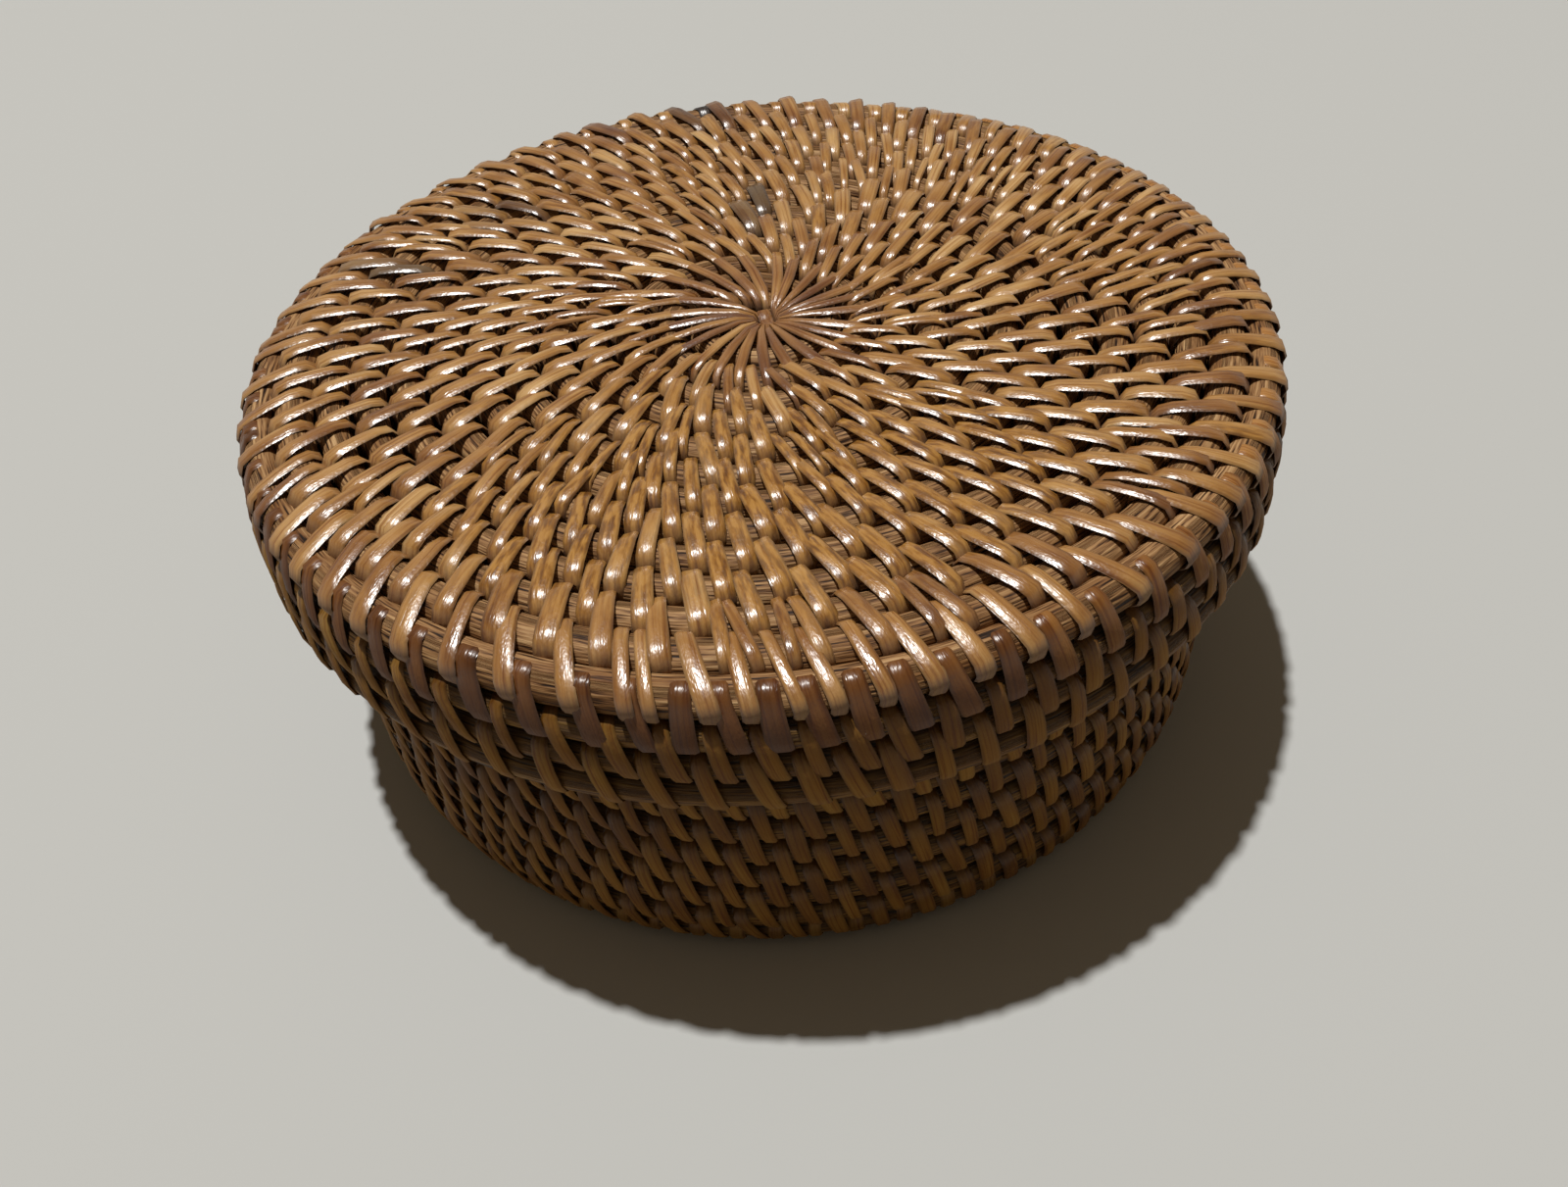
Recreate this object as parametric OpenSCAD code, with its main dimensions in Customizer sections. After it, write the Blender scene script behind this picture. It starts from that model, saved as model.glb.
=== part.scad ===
// Lidded coiled basket. A rod of rattan core is wound into a flat spiral, turned over the edge and wound
// on along the wall; strips of split rattan peel tie each turn to the turn before it. The lid is a cap that
// slips over the straight wall of the base and comes to rest on the base's rim.
// Origin at the middle of the underside, +Z up, millimetres.

/* [Rod and strip] */
// Diameter of the core rod
core_d = 5.4; // [4.8:0.1:5.6]
// Thickness of the peel strip
strip_t = 0.5; // [0.3:0.05:0.5]
// Width of the peel strip
strip_w = 3; // [2:0.1:3.2]
// Clearance between a strip and the rods that it ties
strip_gap = 0.15; // [0.1:0.05:0.2]

/* [Lid] */
// Outer radius of the lid's wall over the strips
lid_r = 96.3; // [80:0.1:125]
// Least gap between the rods of the lid's top
top_gap_min = 1.05; // [1:0.05:1.8]
// Gap between the rods of the lid's wall
lid_wall_gap = 0.85; // [0.8:0.05:1.6]
// Number of rows below the rim
lid_wall_rows = 3; // [2:1:6]

/* [Base] */
// Least gap between the rods of the floor
floor_gap_min = 0.9; // [0.85:0.05:1.6]
// Gap between the rods of the base's wall
base_wall_gap = 0.95; // [0.9:0.05:1.6]
// Number of rows above the corner row
base_wall_rows = 10; // [6:1:12]
// How much narrower the base is at its foot than at its rim, on the radius
base_lean = 2; // [0:0.1:4]
// How far the middle of the floor is raised above the table
floor_rise = 2; // [0:0.1:4]

/* [Fit and turn] */
// Clearance between the lid's wall and the base's wall
fit_gap = 0.4; // [0.3:0.05:2]
// Clearance between the lid's shoulder and the base's rim
seat_gap = 0.3; // [0.2:0.05:1]
// Radius of the bend from flat to wall, on the rods' centres
bend_r = 5; // [5:0.1:8]
// Radius of the hole in the middle, inside the strips
hole_r = 1.2; // [1:0.1:3]
// Gap between the end of one rod and the start of the rod that carries on from it
rod_gap = 0.3; // [0.2:0.05:1]
// Room kept between the tapered end of a rod and the turn that it lies against
tail_gap = 0.6; // [0.5:0.05:1]
// Angle at which a turn has stepped over to the next row, counter-clockwise from +X
step_angle = 150; // [0:15:345]

/* [Hidden] */
$fn = 32;

// Share of each turn that steps over to the next row, at its end
step_share = 1 / 3;
// Sides of a rod's faceted tube, and its rings to a turn on large and on small rows
tube_sides = 6;
rings = 24;
small_rings = 12;
// Rings of the taper at the end of a rod
tail_rings = 5;
// Ties to a ring segment on large and on small rows
ties = 3;
small_ties = 2;
// Where ties lie in their share of a segment: two places for sets that interleave, and one for a set alone
early = 0.28;
late = 0.72;
middle = 0.5;
// Rows from one set of ties to the next, on a flat spiral and on a wall, and the innermost row that a set
// can take
flat_step = 3;
wall_step = 2;
first_tied_row = 5;
// Ring segments from one tie to the next at the centre, the rows that each tie spans, and the share of the
// room there that a pared strip fills
hub_step = 2;
hub_span = 2;
hub_tie_share = 0.7;

rod_colour = "#b08a64";
peel_colour = "#b9803f";
dark_peel_colour = "#64402f";

core_r = core_d / 2;
// Radius from a rod's centre to the outside of the strip around it
bound_r = core_r + strip_gap + strip_t;
// Length of half the bend, along the rods' centres
half_bend = bend_r * PI / 4;
// Half the angle of a ring segment, on large and on small rows
half_segment = 180 / rings;
half_small = 180 / small_rings;

// Radii of the lid's wall, the base's rim and the base's foot, on the rods' centres
lid_wall_r = lid_r - bound_r;
base_rim_r = lid_wall_r - (2 * bound_r + fit_gap) / cos(half_segment);
base_foot_r = base_rim_r - base_lean;

// Radius of the first turn, on the rod's centre
hub_r = (hole_r + bound_r) / cos(half_small);
// Lengths from the first turn to the middle of the bend, and as many whole rows as they have room for
top_length = lid_wall_r - bend_r + half_bend - hub_r;
top_turns = floor(top_length / (core_d + top_gap_min));
top_pitch = top_length / top_turns;
floor_length = base_foot_r - bend_r + half_bend - hub_r;
floor_turns = floor(floor_length / (core_d + floor_gap_min));
floor_pitch = floor_length / floor_turns;
// Distances from row to row on the walls
lid_wall_pitch = core_d + lid_wall_gap;
base_wall_pitch = core_d + base_wall_gap;

// Rows are numbered from the centre: flat rows first, then the row on the bend, then the wall's rows
lid_rim_row = top_turns + 1;
lid_last_row = lid_rim_row + lid_wall_rows;
base_corner_row = floor_turns + 1;
base_last_row = base_corner_row + base_wall_rows;
// Radii of the last flat rows
top_edge_r = hub_r + (top_turns - 1) * top_pitch;
floor_edge_r = hub_r + (floor_turns - 1) * floor_pitch;
// The outer sets of ties on the flat spirals, and the last rows that have the small number of rings
lid_outer_row = lid_rim_row - flat_step;
lid_small_row = lid_outer_row - 2;
foot_row = base_corner_row - 2;
floor_small_row = foot_row - 2;
// The base wall's rows where the middle rod and the upper rod take over, each with about a third of the rows
base_middle_row = base_corner_row + floor(base_wall_rows / 3);
base_upper_row = base_last_row - floor(base_wall_rows / 3);
// Row at half the height of the base's wall, and the first sets of ties below and above it
base_half_row = base_corner_row + floor(base_wall_rows / 2);
lower_row = base_corner_row + 1 + wall_step;
upper_row = lower_row + wall_step * (floor((base_half_row - lower_row) / wall_step) + 1);

// Heights of the rods' centres: floor, base rim and lid top. The lid's sloping shoulder sits on the rim
floor_z = bound_r;
base_rim_z = floor_z + bend_r - half_bend + base_wall_rows * base_wall_pitch;
shoulder_drop = bend_r * (1 - cos(45));
shoulder_slope = atan2(shoulder_drop, lid_wall_r - shoulder_drop - top_edge_r);
lid_z = base_rim_z + (2 * bound_r + seat_gap) / cos(shoulder_slope)
    + (base_rim_r - top_edge_r) * tan(shoulder_slope);
// Height of the base's wall, from the end of the bend to the rim
base_wall_h = base_rim_z - floor_z - bend_r;

// Smooth step from 0 to 1
function ease(t) = t * t * (3 - 2 * t);

// Row number reached after u turns: level for most of a turn, then a step to the next row
function row_at(u) =
    let (k = floor(u), t = (u - k - 1 + step_share) / step_share)
    k + (t > 0 ? ease(t) : 0);

// Direction from the axis after u turns
function angle_at(u) = step_angle + 360 * u;

// [radius, height, angle of the outward normal] at length l past the middle of the lid's bend
function lid_profile(l) =
    let (a = (l + half_bend) / bend_r * 180 / PI)
    l < -half_bend ? [lid_wall_r - bend_r + l + half_bend, lid_z, 90]
    : l > half_bend ? [lid_wall_r, lid_z - bend_r - l + half_bend, 0]
    : [lid_wall_r - bend_r * (1 - sin(a)), lid_z - bend_r * (1 - cos(a)), 90 - a];

// The same for the base: a floor that rises to its middle, a bend, and a wall that leans out
function floor_lift(r) = floor_rise * pow(max(0, 1 - r / (floor_edge_r - 2 * floor_pitch)), 2);
function base_profile(l) =
    let (a = (l + half_bend) / bend_r * 180 / PI, r = base_foot_r - bend_r + l + half_bend)
    l < -half_bend ? [r, floor_z + floor_lift(r), -90]
    : l > half_bend ? [
        base_foot_r + base_lean * (l - half_bend) / base_wall_h,
        floor_z + bend_r + l - half_bend,
        0
    ]
    : [base_foot_r - bend_r * (1 - sin(a)), floor_z + bend_r * (1 - cos(a)), a - 90];

// The profile at a row number, with one pitch before the bend's row and another after it
function length_at(rows, flat_pitch, wall_pitch) = rows * (rows < 0 ? flat_pitch : wall_pitch);
function place_at(in_lid, row) =
    in_lid ? lid_profile(length_at(row - lid_rim_row, top_pitch, lid_wall_pitch))
    : base_profile(length_at(row - base_corner_row, floor_pitch, base_wall_pitch));

// One ring of a tube of radius r: its corners around a place, the first on the outward normal
function ring(place, u, r) = [
    for (i = [0:tube_sides - 1])
        let (
            a = place[2] + 360 * i / tube_sides,
            across = place[0] + r * cos(a)
        )
        [across * cos(angle_at(u)), across * sin(angle_at(u)), place[1] + r * sin(a)]
];
function rod_ring(in_lid, u) = ring(place_at(in_lid, row_at(u)), u, core_r);

// Turn counts at the rings of a rod, from the start of one row to the end of another
function rings_at(in_lid, row) = row <= (in_lid ? lid_small_row : floor_small_row) ? small_rings : rings;
function turns(in_lid, first, last) = [
    for (k = [floor(first):ceil(last)])
        let (n = rings_at(in_lid, k))
        for (j = [0:n - 1])
            let (u = k + j / n)
            if (u > first - 0.5 / n && u < last + 0.5 / n) u
];

// Turn count at which a row's level part ends and its step begins
function level_end(row) = row + 1 - step_share;

// Rings of a rod from one turn count to the end of a row's level part, just short of the rod that carries on
function plain_rod(in_lid, first, last) =
    let (
        stop = level_end(last) - rod_gap / (2 * PI * place_at(in_lid, last)[0]),
        start = turns(in_lid, first, level_end(last) - 1 / rings)
    )
    [for (u = concat(start, stop)) rod_ring(in_lid, u)];

// Rings of a rod that steps on from a row and finishes an edge. Its end is pared down to lie under the step
// of the turn before, and keeps the edge level
function edge_rod(in_lid, first, last, pitch) =
    let (level = level_end(last))
    concat(
        [for (u = turns(in_lid, level_end(first), level)) rod_ring(in_lid, u)],
        [
            for (j = [1:tail_rings])
                let (
                    step = ease(j / rings / step_share),
                    r = min(core_r, (pitch * (1 - step) - tail_gap) / 2)
                )
                ring(place_at(in_lid, last + (core_r - r) / pitch), level + j / rings, r)
        ]
    );

// Least distance between the corners of a ring and those of the ring one turn before it, over a rod
function least_gap(in_lid, first, last) = min([
    for (k = [first + 1:last], j = [0:rings * (1 - step_share)])
        let (u = k - step_share + j / rings)
        for (p = rod_ring(in_lid, u), q = rod_ring(in_lid, u - 1)) norm(p - q)
]);
echo(lid_top_least_gap = least_gap(true, 1, lid_rim_row + 1));
echo(lid_wall_least_gap = least_gap(true, lid_rim_row, lid_last_row));
echo(base_floor_least_gap = least_gap(false, 1, base_corner_row + 1));
echo(base_wall_least_gap = least_gap(false, base_corner_row, base_last_row));

// A closed tube through rings
module tube(loops) {
    n = tube_sides;
    last = n * (len(loops) - 1);
    sides = [
        for (i = [0:n:last - n], j = [0:n - 1])
            let (a = i + j, b = i + (j + 1) % n)
            each [[a, b, b + n], [a, b + n, a + n]]
    ];
    ends = [
        for (j = [1:n - 2])
            each [[0, j + 1, j], [last, last + j, last + j + 1]]
    ];
    polyhedron([for (loop = loops) each loop], concat(sides, ends), convexity = 10);
}

// A slot with round ends, from the origin along X
module round_slot(length, r) {
    circle(r);
    translate([length, 0]) circle(r);
    translate([0, -r]) square([length, 2 * r]);
}

// A strip that goes round two rods, whose centres a and b are [radius, height] in the plane of the tie
module tie(a, b, width) {
    along = b - a;
    rotate([90, 0, 0]) linear_extrude(width, center = true)
        translate(a) rotate(atan2(along[1], along[0])) difference() {
            round_slot(norm(along), bound_r);
            round_slot(norm(along), bound_r - strip_t);
        }
}

// Where a rod crosses the plane of a tie at share t of the segment from u to v turns
function crossing(in_lid, u, v, t, half) =
    let (p = place_at(in_lid, row_at(u)), q = place_at(in_lid, row_at(v)))
    [(p[0] + t * (q[0] - p[0])) * cos(half), p[1] + t * (q[1] - p[1])];

// The set of ties between a row and the row before it, over a share of the turn
module lashing(in_lid, row, phase, share = 1) {
    n = rings_at(in_lid, row);
    half = 180 / n;
    count = n == rings ? ties : small_ties;
    for (i = [0:round(n * share) - 1], j = [0:count - 1]) {
        t = (j + phase) / count;
        u = row + i / n;
        v = row + (i + 1) / n;
        a = crossing(in_lid, u - 1, v - 1, t, half);
        b = crossing(in_lid, u, v, t, half);
        rotate(angle_at(u) + half)
            translate([0, (t - 0.5) * (a[0] + b[0]) * tan(half), 0])
                tie(a, b, strip_w);
    }
}

// The sets of ties on the small rows of a flat spiral, where each row is level
module inner_lashing(in_lid, outer_row) {
    for (row = [outer_row - flat_step:-flat_step:first_tied_row])
        lashing(in_lid, row, middle, 1 - step_share);
}

// Sets of ties on a wall take every other pair of rows, and the one at the edge takes the last pair. Sets that
// meet take turns to lie early and late
function wall_phase(bend_row, row) = ceil((row - bend_row - 1) / wall_step) % 2 == 0 ? late : early;
module wall_lashing(in_lid, bend_row, first, last) {
    for (row = [first:wall_step:last])
        lashing(in_lid, row, wall_phase(bend_row, row));
}
module edge_lashing(in_lid, bend_row, row) {
    lashing(in_lid, row, wall_phase(bend_row, row), 1 - step_share);
}

// The narrow ties at the centre, which pass through the hole in the middle
module hub_lashing(in_lid) {
    first = place_at(in_lid, 1);
    last = place_at(in_lid, 1 + hub_span);
    flat = cos(half_small);
    room = 2 * (first[0] * flat - bound_r) * tan(hub_step * half_small);
    for (i = [0:hub_step:round(small_rings * (1 - step_share)) - 1])
        rotate(angle_at(i / small_rings) + half_small)
            tie([first[0] * flat, first[1]], [last[0] * flat, last[1]], hub_tie_share * room);
}

module lid_top_coil() {
    color(rod_colour) tube(plain_rod(true, 1, lid_rim_row));
}

module lid_wall_coil() {
    color(rod_colour) tube(edge_rod(true, lid_rim_row, lid_last_row, lid_wall_pitch));
}

module lid_hub_lashing() {
    color(peel_colour) hub_lashing(true);
}

module lid_inner_lashing() {
    color(peel_colour) inner_lashing(true, lid_outer_row);
}

module lid_outer_lashing() {
    color(peel_colour) lashing(true, lid_outer_row, middle);
}

module lid_shoulder_lashing() {
    color(peel_colour) lashing(true, lid_rim_row, early);
}

module lid_rim_lashing() {
    color(dark_peel_colour) wall_lashing(true, lid_rim_row, lid_rim_row + 1, lid_rim_row + 1);
}

module lid_wall_lashing() {
    color(peel_colour) {
        wall_lashing(true, lid_rim_row, lid_rim_row + 1 + wall_step, lid_last_row - 1);
        edge_lashing(true, lid_rim_row, lid_last_row);
    }
}

module base_floor_coil() {
    color(rod_colour) tube(plain_rod(false, 1, base_corner_row));
}

module base_lower_coil() {
    color(rod_colour) tube(plain_rod(false, level_end(base_corner_row), base_middle_row));
}

module base_middle_coil() {
    color(rod_colour) tube(plain_rod(false, level_end(base_middle_row), base_upper_row));
}

module base_upper_coil() {
    color(rod_colour) tube(edge_rod(false, base_upper_row, base_last_row, base_wall_pitch));
}

module base_hub_lashing() {
    color(peel_colour) hub_lashing(false);
}

module base_inner_lashing() {
    color(peel_colour) inner_lashing(false, foot_row);
}

module base_foot_lashing() {
    color(peel_colour) lashing(false, foot_row, middle);
}

module base_corner_lashing() {
    color(peel_colour) wall_lashing(false, base_corner_row, base_corner_row + 1, base_corner_row + 1);
}

module base_lower_lashing() {
    color(peel_colour) wall_lashing(false, base_corner_row, lower_row, base_half_row);
}

module base_upper_lashing() {
    color(peel_colour) wall_lashing(false, base_corner_row, upper_row, base_last_row - 1);
}

module base_rim_lashing() {
    color(peel_colour) edge_lashing(false, base_corner_row, base_last_row);
}

lid_top_coil();
lid_wall_coil();
lid_hub_lashing();
lid_inner_lashing();
lid_outer_lashing();
lid_shoulder_lashing();
lid_rim_lashing();
lid_wall_lashing();
base_floor_coil();
base_lower_coil();
base_middle_coil();
base_upper_coil();
base_hub_lashing();
base_inner_lashing();
base_foot_lashing();
base_corner_lashing();
base_lower_lashing();
base_upper_lashing();
base_rim_lashing();
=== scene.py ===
# %% [markdown]
# # A lidded coiled basket
# The basket is two coils of rattan core, a base and a lid that slips over it. Each turn of a coil is stitched
# to the turn before it with strips of split rattan peel. Thousands of small stitches can't be placed by hand,
# so every piece here is a formula: a line that winds out from the middle, and a strip that wraps around it.

import bpy
import numpy as np
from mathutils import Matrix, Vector


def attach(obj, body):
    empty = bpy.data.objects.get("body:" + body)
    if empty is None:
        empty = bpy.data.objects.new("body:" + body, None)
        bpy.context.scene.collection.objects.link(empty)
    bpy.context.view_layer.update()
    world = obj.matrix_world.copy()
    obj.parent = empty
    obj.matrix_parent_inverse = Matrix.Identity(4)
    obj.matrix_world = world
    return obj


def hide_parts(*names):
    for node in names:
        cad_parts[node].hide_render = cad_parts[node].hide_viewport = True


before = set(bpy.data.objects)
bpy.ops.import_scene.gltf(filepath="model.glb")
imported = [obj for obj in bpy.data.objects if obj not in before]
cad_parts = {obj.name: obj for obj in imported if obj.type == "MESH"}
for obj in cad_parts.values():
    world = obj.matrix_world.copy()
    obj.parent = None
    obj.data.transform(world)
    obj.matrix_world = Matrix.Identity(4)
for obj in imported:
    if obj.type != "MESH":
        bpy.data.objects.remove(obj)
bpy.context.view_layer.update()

# %% [markdown]
# ## Sizes
# The sizes are the ones the CAD model was built from, in millimetres, so that the drawn rods lie where the
# solid ones do. They could be measured off the CAD meshes, but a few named values are easier to read and
# change. Rows are numbered from the middle: the flat rows, the row on the bend, then the rows of the wall.
# The solid rods run straight from ring to ring, and so two of the radii make up for that with a cosine.

# %% Sizes in millimetres
MM = 0.001
CORE_R = 2.7
STRIP_T = 0.5
STRIP_GAP = 0.15
BOUND_R = CORE_R + STRIP_GAP + STRIP_T
BEND_R = 5.0
HALF_BEND = BEND_R * np.pi / 4
SOLID_RINGS = 24
SMALL_ROW_RINGS = 12
HOLE_R = 1.2
HUB_R = (HOLE_R + BOUND_R) / np.cos(np.pi / SMALL_ROW_RINGS)
STEP_SHARE = 1 / 3
START_ANGLE = np.radians(150)

LID_OUTER_R = 96.3
LID_RIM_ROW = 14
LID_LAST_ROW = 17
LID_WALL_R = LID_OUTER_R - BOUND_R
TOP_PITCH = (LID_WALL_R - BEND_R + HALF_BEND - HUB_R) / (LID_RIM_ROW - 1)
LID_WALL_PITCH = 6.25

FIT_GAP = 0.4
SEAT_GAP = 0.3
FLAT_FLOOR_ROW = 10
BASE_CORNER_ROW = 13
BASE_MIDDLE_ROW = 16
BASE_UPPER_ROW = 20
BASE_LAST_ROW = 23
BASE_LEAN = 2.0
BASE_RIM_R = LID_WALL_R - (2 * BOUND_R + FIT_GAP) / np.cos(np.pi / SOLID_RINGS)
BASE_FOOT_R = BASE_RIM_R - BASE_LEAN
FLOOR_PITCH = (BASE_FOOT_R - BEND_R + HALF_BEND - HUB_R) / (BASE_CORNER_ROW - 1)
BASE_WALL_PITCH = 6.35
FLOOR_RISE = 2.0
LIFT_R = HUB_R + (FLAT_FLOOR_ROW - 1) * FLOOR_PITCH

FLOOR_Z = BOUND_R
BASE_RIM_Z = FLOOR_Z + BEND_R - HALF_BEND + (BASE_LAST_ROW - BASE_CORNER_ROW) * BASE_WALL_PITCH
BASE_WALL_H = BASE_RIM_Z - FLOOR_Z - BEND_R
TOP_EDGE_R = HUB_R + (LID_RIM_ROW - 2) * TOP_PITCH
SHOULDER_DROP = BEND_R * (1 - np.cos(np.pi / 4))
SHOULDER_SLOPE = np.arctan2(SHOULDER_DROP, LID_WALL_R - SHOULDER_DROP - TOP_EDGE_R)
LID_Z = (
    BASE_RIM_Z
    + (2 * BOUND_R + SEAT_GAP) / np.cos(SHOULDER_SLOPE)
    + (BASE_RIM_R - TOP_EDGE_R) * np.tan(SHOULDER_SLOPE)
)
print(f"lid top at {LID_Z:.2f} mm")
print(f"rows {TOP_PITCH:.3f} mm apart on the lid's top and {FLOOR_PITCH:.3f} mm on the floor")

# %% [markdown]
# ## The line of the coil
# A true spiral grows all the way round. A basket maker's coil runs level for most of a turn and then steps
# over to the next row, and the rim stays level. A turn count says how far along the coil a point is, and two
# small functions give its radius and height. Arrays go in and arrays come out, so that one call places a
# whole rod.


# %% Where the rods lie
def row_at(turn):
    """Row number after some turns: level for two thirds of each turn, then a smooth step to the next row."""
    whole = np.floor(turn)
    step = np.clip((turn - whole - 1 + STEP_SHARE) / STEP_SHARE, 0, 1)
    return whole + step * step * (3 - 2 * step)


def round_bend(length):
    """Angle through the quarter circle at a length past its middle, and the straight lengths around it."""
    bend = np.clip((length + HALF_BEND) / BEND_R, 0, np.pi / 2)
    return bend, np.minimum(length + HALF_BEND, 0), np.maximum(length - HALF_BEND, 0)


def lid_place(row):
    """Radius and height of a lid row: flat out to the bend, round a quarter circle, then straight down."""
    pitch = np.where(row < LID_RIM_ROW, TOP_PITCH, LID_WALL_PITCH)
    bend, flat, drop = round_bend((row - LID_RIM_ROW) * pitch)
    radius = LID_WALL_R - BEND_R * (1 - np.sin(bend)) + flat
    return radius, LID_Z - BEND_R * (1 - np.cos(bend)) - drop


def base_place(row):
    """Radius and height of a base row: a floor lifted in the middle, a bend, then a wall that leans out."""
    pitch = np.where(row < BASE_CORNER_ROW, FLOOR_PITCH, BASE_WALL_PITCH)
    bend, flat, rise = round_bend((row - BASE_CORNER_ROW) * pitch)
    radius = BASE_FOOT_R - BEND_R * (1 - np.sin(bend)) + flat + BASE_LEAN * rise / BASE_WALL_H
    lift = FLOOR_RISE * np.maximum(0, 1 - radius / LIFT_R) ** 2
    return radius, FLOOR_Z + BEND_R * (1 - np.cos(bend)) + rise + lift


print("lid rim row at", [float(np.round(v, 2)) for v in lid_place(np.array(LID_RIM_ROW))])

# %% [markdown]
# ## Nodes and colours
# Colours are written as sRGB hex, as a paint program shows them, and turned to the linear values that shaders
# work in. One function adds a node, sets it and links it, so that a material reads as a short recipe.


# %% Colour and node helpers
def linear(hex_colour):
    """Linear RGBA of an sRGB hex colour."""
    srgb = np.array([int(hex_colour[i:i + 2], 16) for i in (1, 3, 5)]) / 255
    rgb = np.where(srgb <= 0.04045, srgb / 12.92, ((srgb + 0.055) / 1.055) ** 2.4)
    return (*rgb.tolist(), 1.0)


def add_node(tree, kind, inputs=None, stops=None, **settings):
    """One shader node. Inputs are values or feeding sockets; stops are a ramp's places and colours."""
    node = tree.nodes.new("ShaderNode" + kind)
    for name, value in settings.items():
        setattr(node, name, value)
    for name, value in (inputs or {}).items():
        if isinstance(value, bpy.types.NodeSocket):
            tree.links.new(value, node.inputs[name])
        else:
            node.inputs[name].default_value = value
    if stops:
        ramp = node.color_ramp.elements
        while len(ramp) < len(stops):
            ramp.new(1.0)
        for element, (place, colour) in zip(ramp, stops):
            element.position = place
            element.color = linear(colour)
    return node


def new_material(name):
    """An empty node material with its shader joined to the output."""
    material = bpy.data.materials.new(name)
    material.use_nodes = True
    tree = material.node_tree
    tree.nodes.clear()
    shader = add_node(tree, "BsdfPrincipled")
    add_node(tree, "OutputMaterial", {"Surface": shader.outputs["BSDF"]})
    return material, tree, shader


print("honey colour in linear light:", np.round(linear("#c49150"), 3).tolist())

# %% [markdown]
# ## Rattan core
# Core is the inside of the cane, drawn through a die into a round rod. It is matt, and its fibres show as
# fine lines with dark cracks along them. A noise stretched along the rod's own length gives both. It reads
# the UV map, which runs along and around each rod in metres, so the lines follow every turn. On the walls,
# shade is painted onto the side of each rod that faces the row above, and a number stored on each point of a
# rod says how much. The rods of the walls and the base use a darker, more golden copy of the core, and its
# darkening is painted shade too.

# %% Rattan core material
# Length and width of the fibre bundles, and of the clouds of colour along a rod, in millimetres.
FIBRE_SIZE = (7.0, 0.42)
CLOUD_SIZE = (40.0, 4.0)
CLOUD_TONES = [(0.3, "#b8a48c"), (0.7, "#ffffff")]
# Colour of the shade painted on the side of each rod that faces the row above it.
ROD_SHADE_COLOUR = "#170e06"
FIBRE_BUMP = 0.8
FIBRE_RELIEF = 0.0004
CORE_ROUGHNESS = 0.6
CORE_SPECULAR = 0.25


def stretched_noise(tree, uv, size, detail):
    """Noise on a UV map in metres, with features of the given length and width in millimetres."""
    scale = (1 / (size[0] * MM), 1 / (size[1] * MM), 1)
    place = add_node(tree, "Mapping", {"Vector": uv, "Scale": scale}).outputs[0]
    noise = add_node(tree, "TexNoise", {"Vector": place, "Scale": 1.0, "Detail": detail})
    return noise.outputs["Fac"]


def core_material(name, tones):
    """Matt core: a ramp of tones over the fibre noise, clouded along the rod, with relief and painted shade.
    """
    material, tree, shader = new_material(name)
    uv = add_node(tree, "TexCoord").outputs["UV"]
    fibre = stretched_noise(tree, uv, FIBRE_SIZE, 3.0)
    cloud = stretched_noise(tree, uv, CLOUD_SIZE, 1.0)
    fibre_colour = add_node(tree, "ValToRGB", {"Fac": fibre}, stops=tones)
    cloud_colour = add_node(tree, "ValToRGB", {"Fac": cloud}, stops=CLOUD_TONES)
    clouded = add_node(
        tree, "Mix", {0: 1.0, 6: fibre_colour.outputs["Color"], 7: cloud_colour.outputs["Color"]},
        data_type="RGBA", blend_type="MULTIPLY",
    )
    # Painted shade: the rod is darkened where its shade mark says.
    painted_shade = add_node(tree, "Attribute", attribute_name="painted_shade").outputs["Fac"]
    shaded = add_node(tree, "Mix", {0: painted_shade, 6: clouded.outputs[2], 7: linear(ROD_SHADE_COLOUR)}, data_type="RGBA")
    bump = add_node(tree, "Bump", {"Height": fibre, "Strength": FIBRE_BUMP, "Distance": FIBRE_RELIEF})
    tree.links.new(shaded.outputs[2], shader.inputs["Base Color"])
    tree.links.new(bump.outputs["Normal"], shader.inputs["Normal"])
    shader.inputs["Roughness"].default_value = CORE_ROUGHNESS
    shader.inputs["Specular IOR Level"].default_value = CORE_SPECULAR
    print("made", name)
    return material


top_core = core_material(
    "rattan_core_rod",
    [(0.36, "#2c1b0d"), (0.43, "#7f5b3a"), (0.53, "#b68d60"), (0.67, "#d4b080")],
)
# A darker, more golden copy of the core, for the rods of the walls and the base; its darkening is painted
# shade.
wall_core = core_material(
    "shaded_rattan_core_rod",
    [(0.36, "#2a1a0b"), (0.43, "#775329"), (0.53, "#a47c44"), (0.67, "#c09a58")],
)

# %% [markdown]
# ## Split peel
# Peel is the hard skin of the cane, split into strips and varnished. It is glossy, with fine streaks along
# it. One strip makes a run of stitches, and so its colour changes from run to run; a number stored on each
# stitch picks it from a ramp. Two more numbers mark stitches that have taken up a speckled stain, or are
# blackened. The varnish lies thick on what faces up and has hardly reached the rest, so another number makes
# the strips duller there. A last number paints shade into the colour: darker at the strips' edges, at their
# ends where they dive between the rods, and at their upper ends under another row.

# %% Peel materials
# Length and width of the streaks, the uneven colour, the specks of stain and the grain, in millimetres.
STREAK_SIZE = (20.0, 0.5)
MOTTLE_SIZE = (12.0, 6.0)
STAIN_SIZE = (4.0, 0.9)
GRAIN_SIZE = (0.9, 0.4)
STREAK_TONES = [(0.3, "#b8966a"), (0.48, "#eee2cf"), (0.7, "#ffffff")]
STAIN_TONES = [(0.36, "#6a4014"), (0.47, "#96631f"), (0.58, "#bb8840")]
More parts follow.
